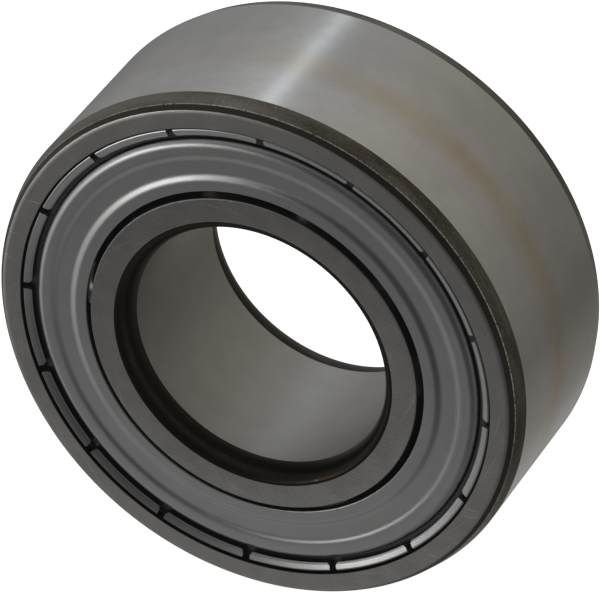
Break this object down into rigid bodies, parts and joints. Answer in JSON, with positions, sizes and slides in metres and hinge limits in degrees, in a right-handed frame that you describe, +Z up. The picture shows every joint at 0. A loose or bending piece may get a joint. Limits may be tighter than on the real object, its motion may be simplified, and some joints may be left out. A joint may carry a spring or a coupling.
{
  "type": "double-row ball bearing",
  "caption": "Shielded double-row angular-contact ball bearing: ground steel rings turn on caged balls behind pressed sheet-steel shields with a tabbed hem.",
  "frame": {"origin": "the bearing's centre: on its axis, midway between its two faces", "axes": "+Y along the bearing's axis, from the front face to the rear face; +Z up, so the bearing stands on its rim; the front face looks towards -Y"},
  "size_m": [0.062, 0.0238, 0.062],
  "materials": {
    "ring_steel": "ground bearing steel, fine circumferential grinding lines, unground dark corners",
    "inner_ring_steel": "ground bearing steel, dark unground bore corners",
    "shield_steel": "satin pressed sheet steel",
    "cage_nylon": "moulded glass-filled nylon",
    "ball_steel": "polished bearing steel"
  },
  "bodies": {
    "outer_ring": {"outer_ring": "ring_steel", "front_shield": "shield_steel", "rear_shield": "shield_steel"},
    "inner_ring": {"inner_ring": "inner_ring_steel"},
    "front_cage": {"front_cage": "cage_nylon"},
    "rear_cage": {"rear_cage": "cage_nylon"},
    "front_ball_01": {"front_ball_01": "ball_steel"},
    "front_ball_02": {"front_ball_02": "ball_steel"},
    "front_ball_03": {"front_ball_03": "ball_steel"},
    "front_ball_04": {"front_ball_04": "ball_steel"},
    "front_ball_05": {"front_ball_05": "ball_steel"},
    "front_ball_06": {"front_ball_06": "ball_steel"},
    "front_ball_07": {"front_ball_07": "ball_steel"},
    "front_ball_08": {"front_ball_08": "ball_steel"},
    "front_ball_09": {"front_ball_09": "ball_steel"},
    "front_ball_10": {"front_ball_10": "ball_steel"},
    "rear_ball_01": {"rear_ball_01": "ball_steel"},
    "rear_ball_02": {"rear_ball_02": "ball_steel"},
    "rear_ball_03": {"rear_ball_03": "ball_steel"},
    "rear_ball_04": {"rear_ball_04": "ball_steel"},
    "rear_ball_05": {"rear_ball_05": "ball_steel"},
    "rear_ball_06": {"rear_ball_06": "ball_steel"},
    "rear_ball_07": {"rear_ball_07": "ball_steel"},
    "rear_ball_08": {"rear_ball_08": "ball_steel"},
    "rear_ball_09": {"rear_ball_09": "ball_steel"},
    "rear_ball_10": {"rear_ball_10": "ball_steel"}
  },
  "joints": [
    {"name": "inner_ring_spin", "type": "hinge", "parent": "outer_ring", "child": "inner_ring", "pos_m": [0, 0, 0], "axis": [0, 1, 0], "continuous": true},
    {"name": "front_cage_spin", "type": "hinge", "parent": "outer_ring", "child": "front_cage", "pos_m": [0, -0.0051, 0], "axis": [0, 1, 0], "continuous": true},
    {"name": "rear_cage_spin", "type": "hinge", "parent": "outer_ring", "child": "rear_cage", "pos_m": [0, 0.0051, 0], "axis": [0, 1, 0], "continuous": true},
    {"name": "front_ball_01_roll", "type": "hinge", "parent": "front_cage", "child": "front_ball_01", "pos_m": [0.023, -0.0051, 0], "axis": [-0.5, 0.866, 0], "continuous": true},
    {"name": "front_ball_02_roll", "type": "hinge", "parent": "front_cage", "child": "front_ball_02", "pos_m": [0.01861, -0.0051, 0.01352], "axis": [-0.4045, 0.866, -0.2939], "continuous": true},
    {"name": "front_ball_03_roll", "type": "hinge", "parent": "front_cage", "child": "front_ball_03", "pos_m": [0.00711, -0.0051, 0.02187], "axis": [-0.1545, 0.866, -0.4755], "continuous": true},
    {"name": "front_ball_04_roll", "type": "hinge", "parent": "front_cage", "child": "front_ball_04", "pos_m": [-0.00711, -0.0051, 0.02187], "axis": [0.1545, 0.866, -0.4755], "continuous": true},
    {"name": "front_ball_05_roll", "type": "hinge", "parent": "front_cage", "child": "front_ball_05", "pos_m": [-0.01861, -0.0051, 0.01352], "axis": [0.4045, 0.866, -0.2939], "continuous": true},
    {"name": "front_ball_06_roll", "type": "hinge", "parent": "front_cage", "child": "front_ball_06", "pos_m": [-0.023, -0.0051, 0], "axis": [0.5, 0.866, 0], "continuous": true},
    {"name": "front_ball_07_roll", "type": "hinge", "parent": "front_cage", "child": "front_ball_07", "pos_m": [-0.01861, -0.0051, -0.01352], "axis": [0.4045, 0.866, 0.2939], "continuous": true},
    {"name": "front_ball_08_roll", "type": "hinge", "parent": "front_cage", "child": "front_ball_08", "pos_m": [-0.00711, -0.0051, -0.02187], "axis": [0.1545, 0.866, 0.4755], "continuous": true},
    {"name": "front_ball_09_roll", "type": "hinge", "parent": "front_cage", "child": "front_ball_09", "pos_m": [0.00711, -0.0051, -0.02187], "axis": [-0.1545, 0.866, 0.4755], "continuous": true},
    {"name": "front_ball_10_roll", "type": "hinge", "parent": "front_cage", "child": "front_ball_10", "pos_m": [0.01861, -0.0051, -0.01352], "axis": [-0.4045, 0.866, 0.2939], "continuous": true},
    {"name": "rear_ball_01_roll", "type": "hinge", "parent": "rear_cage", "child": "rear_ball_01", "pos_m": [-0.02187, 0.0051, 0.00711], "axis": [-0.4755, 0.866, 0.1545], "continuous": true},
    {"name": "rear_ball_02_roll", "type": "hinge", "parent": "rear_cage", "child": "rear_ball_02", "pos_m": [-0.01352, 0.0051, 0.01861], "axis": [-0.2939, 0.866, 0.4045], "continuous": true},
    {"name": "rear_ball_03_roll", "type": "hinge", "parent": "rear_cage", "child": "rear_ball_03", "pos_m": [0, 0.0051, 0.023], "axis": [0, 0.866, 0.5], "continuous": true},
    {"name": "rear_ball_04_roll", "type": "hinge", "parent": "rear_cage", "child": "rear_ball_04", "pos_m": [0.01352, 0.0051, 0.01861], "axis": [0.2939, 0.866, 0.4045], "continuous": true},
    {"name": "rear_ball_05_roll", "type": "hinge", "parent": "rear_cage", "child": "rear_ball_05", "pos_m": [0.02187, 0.0051, 0.00711], "axis": [0.4755, 0.866, 0.1545], "continuous": true},
    {"name": "rear_ball_06_roll", "type": "hinge", "parent": "rear_cage", "child": "rear_ball_06", "pos_m": [0.02187, 0.0051, -0.00711], "axis": [0.4755, 0.866, -0.1545], "continuous": true},
    {"name": "rear_ball_07_roll", "type": "hinge", "parent": "rear_cage", "child": "rear_ball_07", "pos_m": [0.01352, 0.0051, -0.01861], "axis": [0.2939, 0.866, -0.4045], "continuous": true},
    {"name": "rear_ball_08_roll", "type": "hinge", "parent": "rear_cage", "child": "rear_ball_08", "pos_m": [0, 0.0051, -0.023], "axis": [0, 0.866, -0.5], "continuous": true},
    {"name": "rear_ball_09_roll", "type": "hinge", "parent": "rear_cage", "child": "rear_ball_09", "pos_m": [-0.01352, 0.0051, -0.01861], "axis": [-0.2939, 0.866, -0.4045], "continuous": true},
    {"name": "rear_ball_10_roll", "type": "hinge", "parent": "rear_cage", "child": "rear_ball_10", "pos_m": [-0.02187, 0.0051, -0.00711], "axis": [-0.4755, 0.866, -0.1545], "continuous": true}
  ],
  "couplings": [
    {"joint": "front_cage_spin", "follows": "inner_ring_spin", "ratio": 0.41034},
    {"joint": "rear_cage_spin", "follows": "inner_ring_spin", "ratio": 0.41034},
    {"joint": "front_ball_01_roll", "follows": "inner_ring_spin", "ratio": -2.337},
    {"joint": "front_ball_02_roll", "follows": "inner_ring_spin", "ratio": -2.337},
    {"joint": "front_ball_03_roll", "follows": "inner_ring_spin", "ratio": -2.337},
    {"joint": "front_ball_04_roll", "follows": "inner_ring_spin", "ratio": -2.337},
    {"joint": "front_ball_05_roll", "follows": "inner_ring_spin", "ratio": -2.337},
    {"joint": "front_ball_06_roll", "follows": "inner_ring_spin", "ratio": -2.337},
    {"joint": "front_ball_07_roll", "follows": "inner_ring_spin", "ratio": -2.337},
    {"joint": "front_ball_08_roll", "follows": "inner_ring_spin", "ratio": -2.337},
    {"joint": "front_ball_09_roll", "follows": "inner_ring_spin", "ratio": -2.337},
    {"joint": "front_ball_10_roll", "follows": "inner_ring_spin", "ratio": -2.337},
    {"joint": "rear_ball_01_roll", "follows": "inner_ring_spin", "ratio": -2.337},
    {"joint": "rear_ball_02_roll", "follows": "inner_ring_spin", "ratio": -2.337},
    {"joint": "rear_ball_03_roll", "follows": "inner_ring_spin", "ratio": -2.337},
    {"joint": "rear_ball_04_roll", "follows": "inner_ring_spin", "ratio": -2.337},
    {"joint": "rear_ball_05_roll", "follows": "inner_ring_spin", "ratio": -2.337},
    {"joint": "rear_ball_06_roll", "follows": "inner_ring_spin", "ratio": -2.337},
    {"joint": "rear_ball_07_roll", "follows": "inner_ring_spin", "ratio": -2.337},
    {"joint": "rear_ball_08_roll", "follows": "inner_ring_spin", "ratio": -2.337},
    {"joint": "rear_ball_09_roll", "follows": "inner_ring_spin", "ratio": -2.337},
    {"joint": "rear_ball_10_roll", "follows": "inner_ring_spin", "ratio": -2.337}
  ]
}
